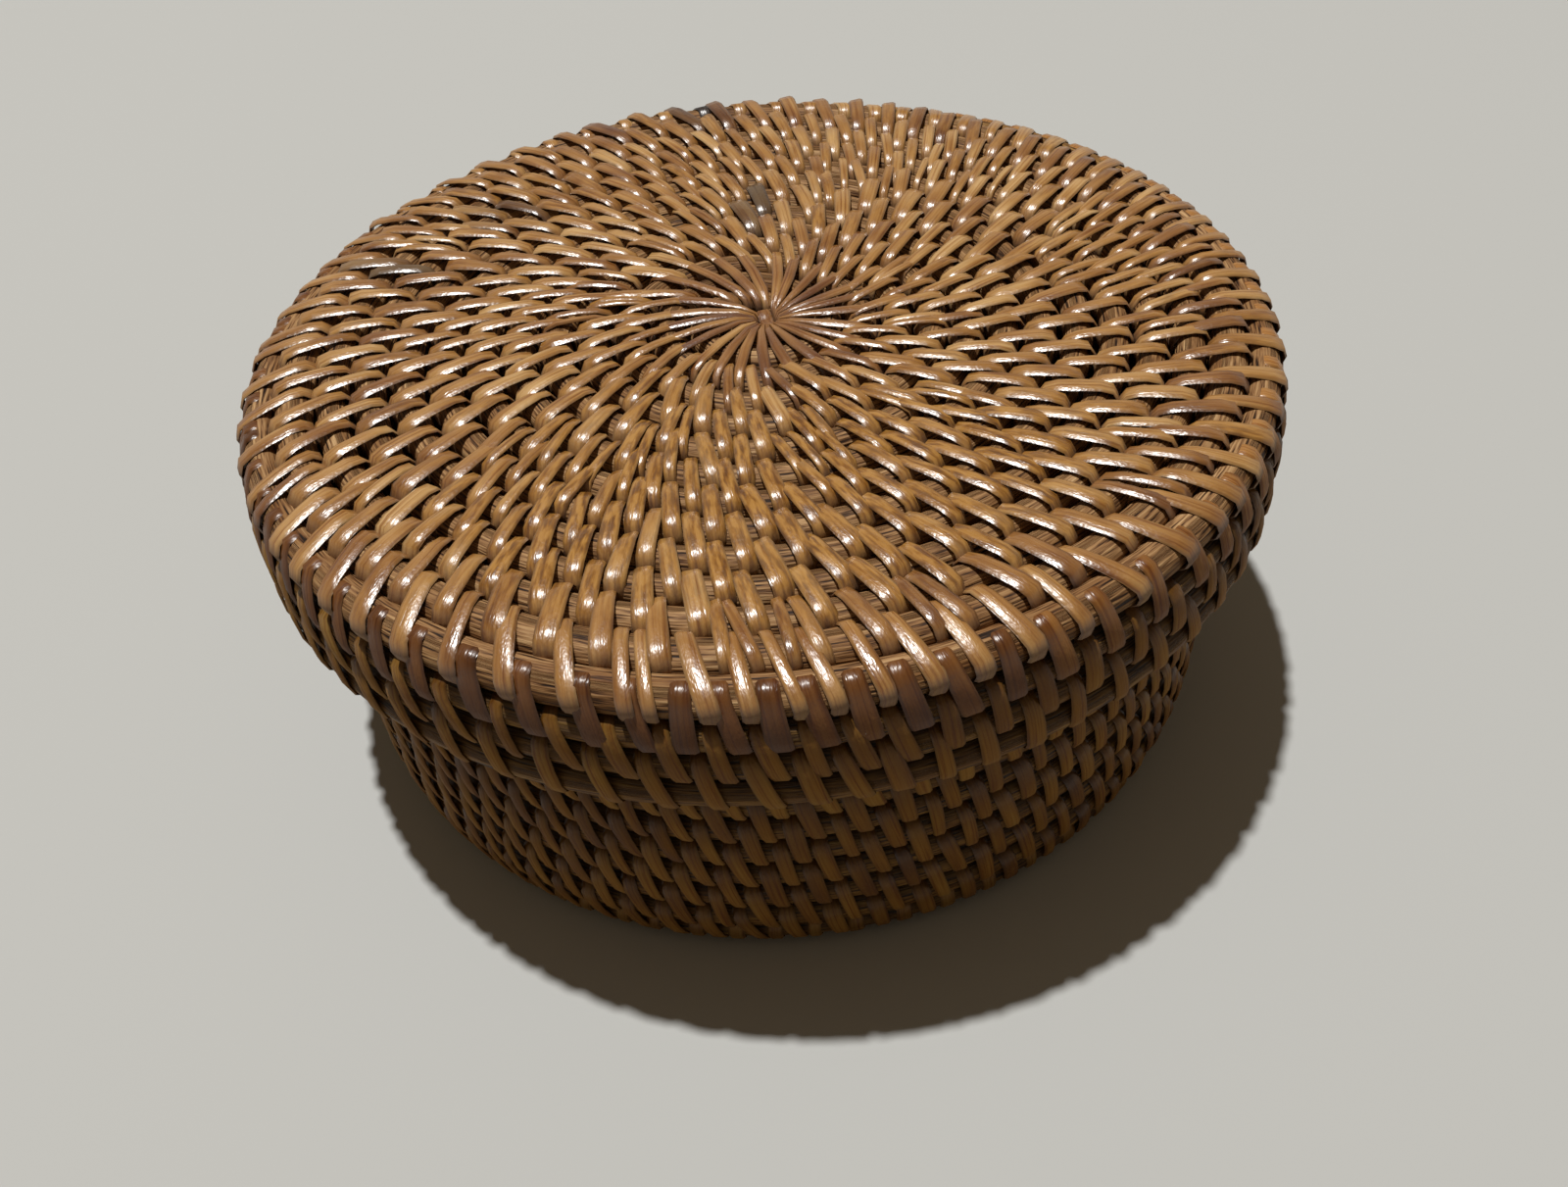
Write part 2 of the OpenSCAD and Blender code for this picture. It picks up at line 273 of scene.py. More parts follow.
# Colour of the shade painted on the strips.
STRIP_SHADE_COLOUR = "#2c1a0c"
CHAR_COLOUR = "#17141b"
NOISE_SPAN = {"From Min": 0.3, "From Max": 0.7}
TONE_SHIFT = 0.25
GLOSSY, GLOSS_SHIFT, DULLER = 0.32, 0.05, 0.42
STREAK_BUMP = 0.42
STREAK_RELIEF = 0.0002
VARNISH_IOR = 1.6


def peel_material(name, tones, specular):
    """Glossy peel: a ramp of tones by stitch, streaked along the strip, under stain, painted shade and char.
    """
    material, tree, shader = new_material(name)
    uv = add_node(tree, "TexCoord").outputs["UV"]
    mark = {
        key: add_node(tree, "Attribute", attribute_name=key).outputs["Fac"]
        for key in ("tone", "stain", "char", "painted_shade", "dull")
    }
    streak = stretched_noise(tree, uv, STREAK_SIZE, 2.0)
    mottle = stretched_noise(tree, uv, MOTTLE_SIZE, 1.0)
    stain = stretched_noise(tree, uv, STAIN_SIZE, 2.0)
    grain = stretched_noise(tree, uv, GRAIN_SIZE, 1.0)
    uneven = add_node(
        tree, "MapRange",
        {"Value": mottle, **NOISE_SPAN, "To Min": -TONE_SHIFT, "To Max": TONE_SHIFT},
    )
    shade = add_node(tree, "Math", {0: mark["tone"], 1: uneven.outputs[0]}, operation="ADD")
    plain = add_node(tree, "ValToRGB", {"Fac": shade.outputs[0]}, stops=tones)
    streak_colour = add_node(tree, "ValToRGB", {"Fac": streak}, stops=STREAK_TONES)
    stain_colour = add_node(tree, "ValToRGB", {"Fac": stain}, stops=STAIN_TONES)
    colour = add_node(
        tree, "Mix", {0: 1.0, 6: plain.outputs["Color"], 7: streak_colour.outputs["Color"]},
        data_type="RGBA", blend_type="MULTIPLY",
    ).outputs[2]
    # Stain and char are colours of the peel itself; the shade layer is painted shade.
    layers = {
        "stain": stain_colour.outputs["Color"],
        "painted_shade": linear(STRIP_SHADE_COLOUR),
        "char": linear(CHAR_COLOUR),
    }
    for key, layer in layers.items():
        colour = add_node(tree, "Mix", {0: mark[key], 6: colour, 7: layer}, data_type="RGBA").outputs[2]
    gloss = add_node(
        tree, "MapRange",
        {"Value": mottle, **NOISE_SPAN, "To Min": GLOSSY - GLOSS_SHIFT, "To Max": GLOSSY + GLOSS_SHIFT},
    )
    rough = add_node(
        tree, "Math", {0: mark["dull"], 1: DULLER, 2: gloss.outputs[0]},
        operation="MULTIPLY_ADD",
    )
    ripple = add_node(tree, "Math", {0: streak, 1: grain}, operation="ADD").outputs[0]
    bump = add_node(tree, "Bump", {"Height": ripple, "Strength": STREAK_BUMP, "Distance": STREAK_RELIEF})
    tree.links.new(colour, shader.inputs["Base Color"])
    tree.links.new(rough.outputs[0], shader.inputs["Roughness"])
    tree.links.new(bump.outputs["Normal"], shader.inputs["Normal"])
    shader.inputs["IOR"].default_value = VARNISH_IOR
    shader.inputs["Specular IOR Level"].default_value = specular
    print("made", name)
    return material


light_peel = peel_material(
    "varnished_split_rattan_peel",
    [(0.0, "#7a5034"), (0.3, "#a0713f"), (0.6, "#be9053"), (1.0, "#deb87e")],
    specular=1.0,
)
dark_peel = peel_material(
    "stained_split_rattan_peel",
    [(0.0, "#5a3618"), (0.45, "#7c5028"), (0.8, "#a0703a"), (1.0, "#b8874e")],
    specular=0.5,
)
# The wall's peel has less varnish than the top's. Its tones are darker, partly its own colour and partly
# painted shade for walls that stand in shade.
wall_peel = peel_material(
    "dull_split_rattan_peel",
    [(0.0, "#70491f"), (0.3, "#8f6429"), (0.6, "#ad803a"), (1.0, "#c4994e")],
    specular=0.3,
)

# %% [markdown]
# ## From grids to pieces
# Every piece is one or more grids of points. The grids could be built face by face in bmesh, but whole arrays
# are quicker: numbering the points once gives all the faces, and foreach_set hands them to the mesh in one
# go. The volume of the result shows whether its faces point outwards, and they are turned over if not.

# %% Mesh helpers
HUB_DRIFT = np.array([2.4, 0.0, 0.0])
SHARP_ANGLE = np.radians(50)


def tube_faces(rings, sides, closed):
    """Quads between neighbouring rings of a tube; a closed tube joins its last ring to its first."""
    ring = np.arange(rings if closed else rings - 1)[:, None]
    side = np.arange(sides)
    after = (side + 1) % sides
    below = (ring + 1) % rings
    corners = (ring * sides + side, below * sides + side, below * sides + after, ring * sides + after)
    return np.stack(corners, axis=-1).reshape(-1, 4)


def volume_of(points, faces):
    """Volume enclosed by quads, each split into two triangles; negative if they face inwards."""
    a, b, c, d = (points[faces[:, i]] for i in range(4))
    return float(np.sum(np.cross(a, b) * c) + np.sum(np.cross(a, c) * d)) / 6


def off_centre(points):
    """Points of the lid with its hub moved over: by all of the drift in the middle, by none at the wall."""
    inward = 1 - np.hypot(points[:, 0], points[:, 1]) / LID_WALL_R
    return points + HUB_DRIFT * np.maximum(inward, 0)[:, None]


def add_piece(name, points, faces, uv, material, body, node, marks=None):
    """A mesh piece from points in millimetres, a UV map in metres, and for each mark one number per point."""
    points = points.reshape(-1, 3)
    if body == "lid":
        points = off_centre(points)
    points = points * MM
    if volume_of(points, faces) < 0:
        faces = faces[:, ::-1]
    mesh = bpy.data.meshes.new(name)
    mesh.vertices.add(len(points))
    mesh.vertices.foreach_set("co", points.ravel())
    mesh.loops.add(faces.size)
    mesh.loops.foreach_set("vertex_index", faces.ravel())
    mesh.polygons.add(len(faces))
    mesh.polygons.foreach_set("loop_start", np.arange(0, faces.size, 4))
    mesh.update(calc_edges=True)
    mesh.uv_layers.new(name="UVMap").data.foreach_set("uv", uv.reshape(-1, 2)[faces.ravel()].ravel())
    for key, values in (marks or {}).items():
        mesh.attributes.new(key, "FLOAT", "POINT").data.foreach_set("value", values.ravel())
    mesh.shade_smooth()
    mesh.set_sharp_from_angle(angle=SHARP_ANGLE)
    mesh.materials.append(material)
    piece = bpy.data.objects.new(name, mesh)
    bpy.context.scene.collection.objects.link(piece)
    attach(piece, body)
    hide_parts(node)
    print(f"{name}: {len(faces)} faces, {volume_of(points, faces) * 1e6:.1f} ml")
    return piece


print("mesh helpers ready")

# %% [markdown]
# ## The core rods
# A rod is a circle carried along the coil's line. A curve object with a bevel would do it too, but a grid of
# points gives the UV map that the fibres need. Real rods aren't quite even, so the thickness wavers a little.
# The last rod of each coil is pared down at its end, and tucks under the step of the turn before it. On the
# walls the rods are pulled close together, and beside the lid's rim closer still.

# %% Core rods
RING_SIDES = 14
RINGS_PER_TURN = 96
TAIL_TURNS = 5 / SOLID_RINGS
TAIL_GAP = 0.6
WAVER = 0.02
QUICK_WAVER, SLOW_WAVER = 37, 11.3
# Gaps in millimetres at four rows of the lid, between the rods as drawn and as the ties go around them. A
# gap below zero presses the rods together. The base has one gap for all of its rows.
GAP_ROWS = (12.3, 13.3, LID_RIM_ROW + 0.3, LID_RIM_ROW + 1)
ROD_GAPS = {"lid": (1.1, -0.6, -0.6, 0.12), "base": (0.12,) * 4}
TIE_GAPS = {"lid": (1.1, -0.6, -0.6, 0.9), "base": (0.95,) * 4}
# How far painted shade darkens the side of a rod that faces the row above.
ROD_SHADE = 0.95
COIL_ENDS = {"lid": (LID_LAST_ROW, LID_WALL_PITCH), "base": (BASE_LAST_ROW, BASE_WALL_PITCH)}


def level_end(row):
    """Turn count at which a row's level part ends."""
    return row + 1 - STEP_SHARE


def row_gap(gaps, body, row):
    """Gap at a row: on a straight line between the rows that it is given for."""
    return np.interp(row, GAP_ROWS, gaps[body])


def row_step(place, row):
    """Direction in radius and height from half a row before to half a row after, and the distance between."""
    before_r, before_z = place(row - 0.5)
    after_r, after_z = place(row + 0.5)
    pitch = np.hypot(after_r - before_r, after_z - before_z)
    return (after_r - before_r) / pitch, (after_z - before_z) / pitch, pitch


def covered(body, row):
    """Whether another row lies above: below the rim row of the lid, and below the last row of the base."""
    return row > LID_RIM_ROW + 0.5 if body == "lid" else row < BASE_LAST_ROW - 0.5


def rod_at(body, turn):
    """Row number and radius of the rod: past its last level part it thins to fit beside the last step."""
    last, pitch = COIL_ENDS[body]
    stepped = row_at(np.maximum(turn, level_end(last)) - 1) - last + 1
    thin = np.minimum((pitch * (1 - stepped) - TAIL_GAP) / 2, CORE_R)
    return np.where(turn > level_end(last), last + (CORE_R - thin) / pitch, row_at(turn)), thin


def rod(name, place, first, last, body, node, material):
    """A rod from one turn count to another.

    A ring lies around the coil's line at each turn count. Towards the neighbouring rows it reaches half of
    the way to them, less half a gap, as rods do that are pulled together; across that it has the rod's own
    radius. Painted shade grows towards what faces up under another row.
    """
    turn = np.linspace(first, last, round((last - first) * RINGS_PER_TURN) + 1)
    row, thick = rod_at(body, turn)
    thick = thick - WAVER * (1 + np.sin(QUICK_WAVER * turn) * np.sin(SLOW_WAVER * turn + 1))
    radius, height = place(row)
    way_r, way_z, pitch = row_step(place, row)
    full = thick * (pitch - row_gap(ROD_GAPS, body, row)) / (2 * CORE_R)
    around = np.linspace(0, 2 * np.pi, RING_SIDES, endpoint=False)
    along = full[:, None] * np.sin(around)
    off = thick[:, None] * np.cos(around)
    across = radius[:, None] + way_r[:, None] * along - way_z[:, None] * off
    angle = START_ANGLE + 2 * np.pi * turn[:, None]
    up = height[:, None] + way_z[:, None] * along + way_r[:, None] * off
    points = np.stack([across * np.cos(angle), across * np.sin(angle), up], axis=-1)
    length = np.concatenate([[0], np.cumsum(2 * np.pi * radius[1:] * np.diff(turn))])
    uv = np.stack(np.broadcast_arrays(length[:, None], thick[:, None] * around), axis=-1) * MM
    half = np.arange(RING_SIDES // 2 - 1)
    cap = np.stack([half, half + 1, RING_SIDES - 2 - half, RING_SIDES - 1 - half], axis=-1)
    end_cap = cap[:, ::-1] + (len(turn) - 1) * RING_SIDES
    faces = np.concatenate([tube_faces(len(turn), RING_SIDES, False), cap, end_cap])
    # Painted shade, on the side of the rod that faces another row above.
    painted_shade = ROD_SHADE * covered(body, row)[:, None] * np.clip(way_z[:, None] * np.sin(around), 0, 1)
    return add_piece(name, points, faces, uv, material, body, node, {"painted_shade": painted_shade})


LID_END = level_end(LID_LAST_ROW) + TAIL_TURNS
BASE_END = level_end(BASE_LAST_ROW) + TAIL_TURNS
rod("lid_top_rod", lid_place, 1, level_end(LID_RIM_ROW), "lid", "lid_top_coil", top_core)
rod("lid_wall_rod", lid_place, level_end(LID_RIM_ROW), LID_END, "lid", "lid_wall_coil", wall_core)
BASE_RODS = (
    ("base_floor_rod", "base_floor_coil", 1, level_end(BASE_CORNER_ROW)),
    ("base_lower_rod", "base_lower_coil", level_end(BASE_CORNER_ROW), level_end(BASE_MIDDLE_ROW)),
    ("base_middle_rod", "base_middle_coil", level_end(BASE_MIDDLE_ROW), level_end(BASE_UPPER_ROW)),
    ("base_upper_rod", "base_upper_coil", level_end(BASE_UPPER_ROW), BASE_END),
)
for name, node, first, last in BASE_RODS:
    rod(name, base_place, first, last, "base", node, wall_core)

# %% [markdown]
# ## One stitch
# A stitch is a strip that goes once around two neighbouring rods. Its path is a racetrack: an arc around each
# rod, and a run from one to the other that stands up in a low arch, because stiff peel doesn't lie flat. The
# strip leans as it goes, and its cross-section is domed on the skin side. All the stitches of a set are
# worked out together, as one array of stitch by station by profile point.

# %% Shape of a stitch
STRIP_ROOM = 0.03
CROWN = 0.5
# Stations around the racetrack, over the skin side and back below, and their share of the way between rods.
LOOP = np.radians([200, 165, 134, 111, 90, 69, 46, 15, -20, -60, -90, -120])
RUN_SHARE = 0.5 + np.clip(np.cos(LOOP), -0.5, 0.5)
ARCH_SKEW = 1.4
ARCH = np.sin(np.pi * np.clip(1 - LOOP / np.pi, 0, 1) ** ARCH_SKEW) * (LOOP > 0)
PROFILE_ACROSS = np.array([-0.9, -1, -0.65, 0.65, 1, 0.9])
PROFILE_HEIGHT = CROWN * np.array([0, 0.35, 1, 1, 0.35, 0])
# Painted shade along the strips' edges, at their ends where they dive between the rods, and at upper ends
# under another row.
EDGE_SHADE = np.array([0.5, 0.5, 0.0, 0.0, 0.5, 0.5])
END_SHADE, TOP_SHADE = 0.4, 0.65
GLOSS_UP, GLOSS_FADE = 0.65, 0.4


def unit(vectors):
    """Vectors brought to length 1."""
    return vectors / np.linalg.norm(vectors, axis=-1, keepdims=True)


def carry_profile(path, face, roll, width):
    """Points and UV of strips: the domed profile, rolled and widened, laid across closed paths."""
    forward = unit(np.roll(path, -1, axis=1) - np.roll(path, 1, axis=1))
    across = unit(np.cross(forward, face))
    skin = np.cross(across, forward)
    lean_in, upright = np.sin(roll)[..., None], np.cos(roll)[..., None]
    across, skin = across * upright + skin * lean_in, skin * upright - across * lean_in
    half = width[..., None] / 2 * PROFILE_ACROSS
    points = path[:, :, None] + across[:, :, None] * half[..., None]
    points = points + skin[:, :, None] * PROFILE_HEIGHT[:, None]
    length = np.cumsum(np.linalg.norm(np.diff(path, axis=1, prepend=path[:, :1]), axis=-1), axis=1)
    return points, np.stack(np.broadcast_arrays(length[..., None], half), axis=-1) * MM


def stitch_points(body, turn, span, lean, width, taper, arch, twist=0.0, swirl_r=0.0, crowd=np.inf):
    """Points, UV, dullness and painted shade of stitches around the rods at each turn count and a span before
    it.

    A station at loop angle f lies at its share of the way from rod to rod, plus the rod's fullness times
    cos f along that way and its radius times sin f outwards, and the arch on the skin side. It is moved
    along the rods by tan(lean) times its distance from the middle, and the profile is laid across the path
    there. The width grows by the taper from the first rod to the second, and is at most crowd times the
    distance from the axis. The strip is rolled about its path by the twist times cos f, and lifted by half
    of what its lower edge sinks. Outwards is to the left of the way from rod to rod on the lid, and to its
    right on the base. What faces up is glossy, and the rest is dull. Its painted shade grows with cos f
    towards both ends, and more towards an upper end under another row.
    """
    place, side = (lid_place, 1) if body == "lid" else (base_place, -1)
    given = (turn, lean, width, arch, twist)
    turn, lean, width, arch, twist = (np.broadcast_to(v, turn.shape)[:, None] for v in given)
    roll = twist * np.cos(LOOP) * (LOOP > 0)
    in_r, in_z = place(row_at(turn - span))
    row, thin = rod_at(body, turn)
    out_r, out_z = place(row)
    gap = np.hypot(out_r - in_r, out_z - in_z)
    less = (CORE_R - thin) * RUN_SHARE
    full = (gap / span + CORE_R - thin - row_gap(TIE_GAPS, body, row)) / 2 + STRIP_ROOM - less
    sideways = np.tan(lean) * ((RUN_SHARE - 0.5) * gap + full * np.cos(LOOP))
    here = turn + sideways / (2 * np.pi * (in_r + (out_r - in_r) * RUN_SHARE + swirl_r))
    in_r, in_z = place(row_at(here - span))
    out_r, out_z = place(rod_at(body, here)[0])
    gap = np.hypot(out_r - in_r, out_z - in_z)
    way_r, way_z = (out_r - in_r) / gap, (out_z - in_z) / gap
    off_r, off_z = -side * way_z, side * way_r
    run = RUN_SHARE * gap + full * np.cos(LOOP)
    rise = (CORE_R + STRIP_ROOM - less) * np.sin(LOOP) + arch * ARCH + width / 4 * np.abs(np.sin(roll))
    radius = in_r + way_r * run + off_r * rise
    height = in_z + way_z * run + off_z * rise
    angle = START_ANGLE + 2 * np.pi * here
    path = np.stack([radius * np.cos(angle), radius * np.sin(angle), height], axis=-1)
    face_r = way_r * np.cos(LOOP) + off_r * np.sin(LOOP)
    face_z = way_z * np.cos(LOOP) + off_z * np.sin(LOOP)
    face = np.stack([face_r * np.cos(angle), face_r * np.sin(angle), face_z], axis=-1)
    width = np.minimum(width * (1 + taper * (RUN_SHARE - 0.5)), crowd * radius)
    points, uv = carry_profile(path, face, roll, width)
    dull = np.clip((GLOSS_UP - face_z) / GLOSS_FADE, 0, 1)
    ends = np.clip(2 * np.abs(np.cos(LOOP)) - 1, 0, 1)
    under = covered(body, row_at(turn - span) if body == "lid" else row)
    # Painted shade at both ends, where the strip dives between the rods, and at an upper end under another
    # row.
    painted_shade = END_SHADE * ends * dull + TOP_SHADE * under * np.clip(way_z * np.cos(LOOP), 0, 1)
    return points, uv, dull, painted_shade


def add_stitches(name, strips, material, body, node, slot, tone, stain, char):
    """One piece of many stitches: the faces of one loop, repeated, and its marks spread over its points."""
    points, uv, dull, painted_shade = strips
    count, stations, sides = points.shape[:3]
    uv = uv + chance.uniform(0, 1, (count, 1, 1, 2))
    faces = tube_faces(stations, sides, True)
    faces = (faces + (np.arange(count) * stations * sides)[:, None, None]).reshape(-1, 4)
    shape = (count, stations, sides)
    marks = {
        key: np.broadcast_to(values[:, None, None], shape)
        for key, values in (("tone", tone), ("stain", stain), ("char", char))
    }
    # Painted shade along the edges, joined with the painted shade at the ends.
    marks["painted_shade"] = 1 - (1 - EDGE_SHADE) * (1 - painted_shade[..., None])
    marks["dull"] = np.broadcast_to(dull[..., None], shape)
    return add_piece(name, points, faces, uv, material, body, node, marks)


print(f"{len(LOOP) * len(PROFILE_ACROSS)} faces to a stitch")

# %% [markdown]
# ## Laying the stitches
# The maker sets each stitch beside the one that it meets on the turn before, and lets in an extra one where
# the coil has grown and the spacing gets wide. That is how the swirl of the lid comes about, so it is done
# the same way here, turn by turn: extras go into the widest gaps, the spacing is evened a little, and each
# stitch is kept between the two that it lies beside, so that strips don't run through each other.

# %% How stitches are laid
EVEN_ROUNDS = 4
BESIDE = (0.37, 0.6)
WIDEST_NOISE = (0.7, 1.3)
POSITION_NOISE = 0.03
RUN_STITCHES = (20, 46)
TONE_MEAN, RUN_NOISE, TONE_NOISE = 0.55, 0.15, 0.08
chance = np.random.default_rng(7)


def lay_stitches(first, last, first_count, count_at, place, slant_at, share_at):
    """Turn counts of the stitches along a coil, from the first set to the last turn.

    A stitch lies one turn after the one that it meets, moved on by the mean slant of the two and by a share
    of the spacing. Where two stitches lie in one space, they divide it evenly.
    """
    turns = first + np.arange(first_count) / first_count
    count = first_count
    while turns[-1] < last:
        before = turns[-count:]
        middle = before.mean() + 1
        radius = float(place(row_at(middle))[0])
        swing = (slant_at(middle - 1) + slant_at(middle)) / (4 * np.pi * radius)
        after = before + 1 + swing + share_at(middle) / count
        gaps = np.diff(after, prepend=turns[-1])
        extra = max(round(count_at(radius)) - count, 0)
        widest = np.argsort(gaps * chance.uniform(*WIDEST_NOISE, count))[count - extra:]
        after = np.sort(np.concatenate([after, after[widest] - gaps[widest] / 2]))
        for _ in range(EVEN_ROUNDS):
            ends = np.concatenate([turns[-1:], after, [2 * after[-1] - after[-2]]])
            after = after / 2 + (ends[:-2] + ends[2:]) / 4
        met = np.concatenate([turns, after]) + 1 + swing
        upper = np.clip(np.searchsorted(met, after), 1, None)
        low, room = met[upper - 1], met[upper] - met[upper - 1]
        number = np.bincount(upper)[upper]
        rank = 1 + np.arange(len(after)) - np.searchsorted(upper, upper)
        share = np.where(number == 1, np.clip((after - low) / room, *BESIDE), rank / (number + 1))
        turns = np.concatenate([turns, low + share * room])
        count = len(after)
    turns = turns + chance.normal(0, POSITION_NOISE, len(turns)) * np.gradient(turns)
    return turns[turns < last]


def run_tones(count):
    """A tone for each stitch: one for each run of stitches cut from the same peel, and a little noise."""
    ends = np.cumsum(chance.integers(*RUN_STITCHES, count // RUN_STITCHES[0] + 1))
    run = np.searchsorted(ends, np.arange(count), side="right")
    return chance.normal(TONE_MEAN, RUN_NOISE, len(ends) + 1)[run] + chance.normal(0, TONE_NOISE, count)


print("runs of", RUN_STITCHES[0], "to", RUN_STITCHES[1] - 1, "stitches")

# %% Places of the stitches
STRIP_TAPER = 0.14
TOP_LEAN = np.radians(18)
WALL_LEAN = np.radians(13)
TOP_SLANT = np.tan(TOP_LEAN) * TOP_PITCH
LID_WALL_SLANT = np.tan(WALL_LEAN) * LID_WALL_PITCH
FLOOR_SLANT = -np.tan(WALL_LEAN) * FLOOR_PITCH
BASE_WALL_SLANT = -np.tan(WALL_LEAN) * BASE_WALL_PITCH
BESIDE_SHARE = 0.4
EVEN_WALL_SHARE = 0.5
FIRST_SET = 4
FIRST_COUNT = 29
BARE_TURNS = 0.02
LEAST_COUNT, LID_COUNT_GROWTH, BASE_COUNT_GROWTH = 14, 61, 60
LID_SCALE_R = 95.0
BASE_SCALE_R = 85.0

lid_turns = lay_stitches(
    FIRST_SET, LID_END - BARE_TURNS, FIRST_COUNT,
    lambda radius: LEAST_COUNT + LID_COUNT_GROWTH * radius / LID_SCALE_R, lid_place,
    lambda turn: TOP_SLANT if turn < LID_RIM_ROW + 1 else LID_WALL_SLANT,
    lambda turn: BESIDE_SHARE if turn < LID_RIM_ROW + 2 else EVEN_WALL_SHARE,
)
base_turns = lay_stitches(
    FIRST_SET, BASE_END - BARE_TURNS, FIRST_COUNT,
    lambda radius: LEAST_COUNT + BASE_COUNT_GROWTH * radius / BASE_SCALE_R, base_place,
    lambda turn: FLOOR_SLANT if turn < BASE_CORNER_ROW + 1 else BASE_WALL_SLANT,
    lambda turn: EVEN_WALL_SHARE,
)
print(len(lid_turns), "stitches on the lid and", len(base_turns), "on the base")

# %% [markdown]
# ## Stitches of the lid
# The top's stitches widen with the coil, and stand a little askew. Each size is a value for its set times or
# plus some noise, because no two stitches made by hand are alike.

# %% Sizes of the lid's stitches
TOP_WIDTH_SHARE, TOP_WIDTHS = 0.4, (1.7, 3.2)
RIM_WIDTH, LID_WALL_WIDTH, WIDTH_NOISE = 3.6, 3.0, 0.08
LID_LEAN_NOISE = 0.06
TOP_ARCH, EDGE_ARCH, ARCH_NOISE = 0.5, 0.2, 0.25
TOP_TWIST, SHOULDER_TWIST, TWIST_NOISE = np.radians(22), np.radians(4), 0.3

lid_count = len(lid_turns)
lid_set = np.floor(lid_turns)
lid_radius = lid_place(row_at(lid_turns))[0]
lid_angle = START_ANGLE + 2 * np.pi * lid_turns
on_top = lid_set <= LID_RIM_ROW
inside_shoulder = lid_set < LID_RIM_ROW
around_rim = lid_set == LID_RIM_ROW + 1
spacing = 2 * np.pi * lid_radius * np.gradient(lid_turns)
top_width = np.clip(TOP_WIDTH_SHARE * spacing, *TOP_WIDTHS)
lid_width = np.where(on_top, top_width, np.where(around_rim, RIM_WIDTH, LID_WALL_WIDTH))
lid_width = lid_width * chance.normal(1, WIDTH_NOISE, lid_count)
lid_lean = np.where(on_top, TOP_LEAN, WALL_LEAN) + chance.normal(0, LID_LEAN_NOISE, lid_count)
lid_arch = np.where(inside_shoulder, TOP_ARCH, EDGE_ARCH) * chance.normal(1, ARCH_NOISE, lid_count)
lid_twist = np.where(inside_shoulder, TOP_TWIST, SHOULDER_TWIST) * on_top
lid_twist = lid_twist * chance.normal(1, TWIST_NOISE, lid_count)
print(f"strips of the lid {lid_width.min():.1f} to {lid_width.max():.1f} mm wide")

# %% [markdown]
# The set around the rim is of stained peel, darkest at the front left. A band in front has taken up an
# orange-brown speckle, and a few stitches at the back and left are blackened. The marks are formulas of a
# stitch's place: its angle, and its distance from the middle as a share of the lid's size.

# %% Colours of the lid's stitches
RIM_TONE, RIM_TONE_SWING, RIM_TONE_NOISE = 0.8, 0.6, 0.12
RIM_DARK_ANGLE = np.radians(225)
STAIN_SHARE, STAIN_HALF, STAIN_FADE = 0.6, 0.32, 0.12
STAIN_ANGLE = np.radians(272)
FRONT_START, FRONT_FADE = 0.5, 0.3
STAIN_LEAST, STAIN_MORE, STAIN_NOISE, STAIN_MOST = 0.12, 0.7, 0.15, 0.9
CHAR_SPOTS = ((-0.56, 0.53), (-0.78, 0.34), (-0.09, 0.95), (0.0, 0.48))
CHAR_SIZE = 0.05
CHAR_NOISE, CHAR_MOST = (0.8, 1.5), 0.95

lid_tone = run_tones(lid_count)
rim_tone = RIM_TONE - RIM_TONE_SWING * np.cos(lid_angle - RIM_DARK_ANGLE)
rim_tone = rim_tone + chance.normal(0, RIM_TONE_NOISE, lid_count)
lid_tone = np.where(around_rim, rim_tone, lid_tone)

share = lid_radius / LID_SCALE_R
front = np.cos(lid_angle - STAIN_ANGLE)
lid_stain = np.clip((STAIN_HALF - np.abs(share - STAIN_SHARE)) / STAIN_FADE, 0, 1)
lid_stain = lid_stain * np.clip((front - FRONT_START) / FRONT_FADE, 0, 1)
lid_stain = STAIN_LEAST + STAIN_MORE * lid_stain + chance.normal(0, STAIN_NOISE, lid_count)
lid_stain = np.clip(lid_stain, 0, STAIN_MOST) * on_top

east, north = share * np.cos(lid_angle), share * np.sin(lid_angle)
lid_char = sum(np.exp(-((east - x) ** 2 + (north - y) ** 2) / CHAR_SIZE ** 2) for x, y in CHAR_SPOTS)
lid_char = np.clip(lid_char * chance.uniform(*CHAR_NOISE, lid_count), 0, CHAR_MOST)
print(int(np.sum(lid_char > 0.5)), "blackened stitches on the lid")

# %% Lid stitches
LID_SETS = (
    ("lid_inner_stitches", "lid_inner_lashing", 4, 8, light_peel, "peel"),
    ("lid_outer_stitches", "lid_outer_lashing", 9, 13, light_peel, "peel"),
    ("lid_shoulder_stitches", "lid_shoulder_lashing", 14, 14, light_peel, "peel"),
    ("lid_rim_stitches", "lid_rim_lashing", 15, 15, dark_peel, "dark_peel"),
    ("lid_wall_stitches", "lid_wall_lashing", 16, 17, wall_peel, "peel"),
)
for name, node, low, high, material, slot in LID_SETS:
    own = (lid_set >= low) & (lid_set <= high)
    strips = stitch_points(
        "lid", lid_turns[own], 1, lid_lean[own], lid_width[own], STRIP_TAPER, lid_arch[own], lid_twist[own],
    )
    add_stitches(name, strips, material, "lid", node, slot, lid_tone[own], lid_stain[own], lid_char[own])

# %% [markdown]
# ## Stitches of the base
# The base is stitched in the same way, with its skin side out: under the floor and outside the wall. The
# floor stands on its stitches, so these lie flat, and the rows that the lid slips over have hardly any arch.

# %% Base stitches
BASE_WIDTH_SHARE, BASE_WIDTHS = 0.38, (1.7, 2.8)
BASE_LEAN_NOISE = 0.04
LID_EDGE_Z = 50.0
LOW_ARCH, WALL_ARCH = 0.1, 0.3
BASE_DARKER = 0.05
